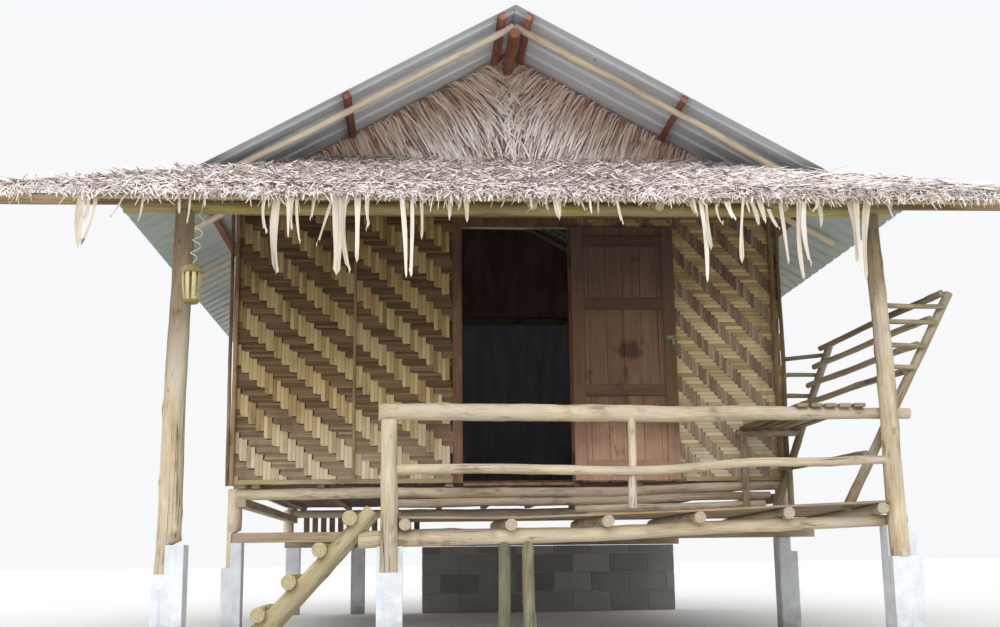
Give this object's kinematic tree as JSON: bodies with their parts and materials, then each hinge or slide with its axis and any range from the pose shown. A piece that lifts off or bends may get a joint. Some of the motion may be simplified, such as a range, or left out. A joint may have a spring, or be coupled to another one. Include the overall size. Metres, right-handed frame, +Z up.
{
  "type": "stilt house",
  "caption": "Small raised bamboo house with a ribbed sheet roof, a palm-thatched porch, a pole deck with rail and leaning bench, a log stair and a hinged door.",
  "frame": {"origin": "ground level at the centre of the roof outline: under the ridge, midway between the rear verge and the thatched eave", "axes": "+Z up, +X to the right seen from the front, +Y from the porch back into the house"},
  "size_m": [6.6, 7.11, 4.5668],
  "materials": {
    "concrete": "matte",
    "blockwork": "matte",
    "sawn_timber": "matte",
    "peeled_logs": "matte",
    "dark_logs": "matte",
    "floor_boards": "matte",
    "bamboo_weave": "matte",
    "bamboo_poles": "satin",
    "palm_thatch": "matte",
    "roof_sheet": "matte",
    "door_boards": "matte",
    "iron": "matte"
  },
  "bodies": {
    "house": {"porch_footings": "concrete", "house_footings": "concrete", "rear_block_wall": "blockwork", "bearers": "sawn_timber", "floor_posts": "peeled_logs", "side_beams": "sawn_timber", "sill_logs": "peeled_logs", "floor_joists": "dark_logs", "floor_boards": "floor_boards", "rear_skirt": "dark_logs", "corner_posts": "peeled_logs", "front_wall_left": "bamboo_weave", "front_wall_right": "bamboo_weave", "door_header": "sawn_timber", "left_wall": "bamboo_weave", "right_wall": "bamboo_weave", "rear_wall": "bamboo_weave", "wall_battens": "bamboo_poles", "door_frame": "sawn_timber", "wall_plates": "peeled_logs", "rafters": "bamboo_poles", "ridge_pole": "peeled_logs", "purlins": "sawn_timber", "roof_sheet_left": "roof_sheet", "roof_sheet_right": "roof_sheet", "ridge_cap": "roof_sheet", "gable_thatch_front": "palm_thatch", "gable_thatch_rear": "palm_thatch", "porch_posts": "peeled_logs", "rail_post": "peeled_logs", "porch_eave_beam": "bamboo_poles", "porch_rafters": "bamboo_poles", "porch_laths": "bamboo_poles", "porch_thatch": "palm_thatch", "deck_front_beam": "peeled_logs", "deck_props": "dark_logs", "deck_joists": "peeled_logs", "deck_slats": "bamboo_poles", "top_rail": "peeled_logs", "mid_rail": "peeled_logs", "baluster": "dark_logs", "bench_posts": "peeled_logs", "bench_back_poles": "peeled_logs", "bench_arm_rails": "peeled_logs", "bench_seat": "bamboo_poles", "bench_supports": "peeled_logs", "stair_stringers": "peeled_logs", "stair_treads": "peeled_logs", "lantern": "bamboo_poles", "door_pintles": "iron"},
    "door": {"door_leaf": "door_boards", "door_straps": "iron", "door_hasp": "iron"}
  },
  "joints": [
    {"name": "door_hinge", "type": "hinge", "parent": "house", "child": "door", "pos_m": [0.456, -1.571, 1.3], "axis": [0, 0, -1], "range_deg": [0, 180]}
  ]
}
